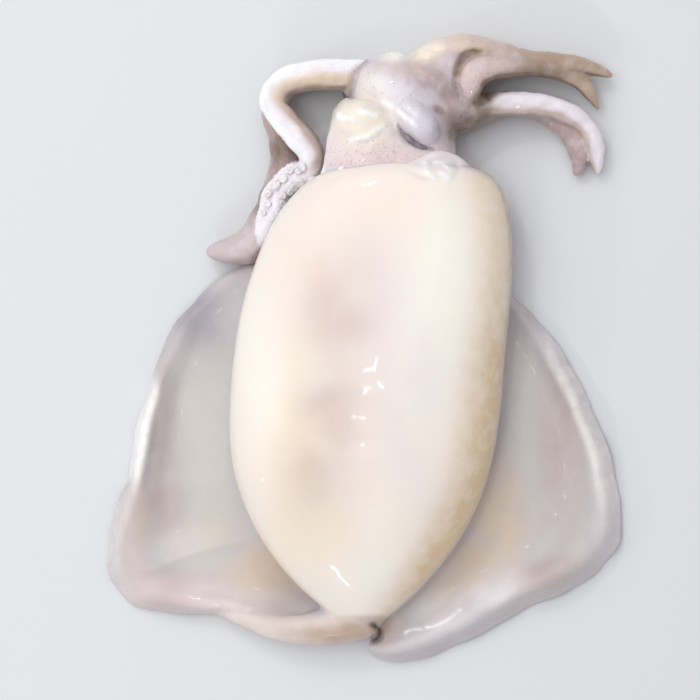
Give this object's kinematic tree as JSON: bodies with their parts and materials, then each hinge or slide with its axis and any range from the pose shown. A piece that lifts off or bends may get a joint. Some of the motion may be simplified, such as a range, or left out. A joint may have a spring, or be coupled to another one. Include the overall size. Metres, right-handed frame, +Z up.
{
  "type": "whole raw bigfin reef squid",
  "caption": "Whole raw bigfin reef squid lying belly up, with a plump mantle, wide fins that run its full length, a funnel, head and arms.",
  "frame": {"origin": "on the resting plane, under the middle of the mantle", "axes": "+Y along the mantle towards the head, +X to the right seen from above with the belly up, +Z up"},
  "size_m": [0.1727, 0.2046, 0.0326],
  "materials": {
    "flesh": "wet, translucent cream flesh, greyish lilac on the fins, mauve-brown on the head and arms"
  },
  "bodies": {
    "root": {"squid": "flesh"}
  },
  "joints": []
}
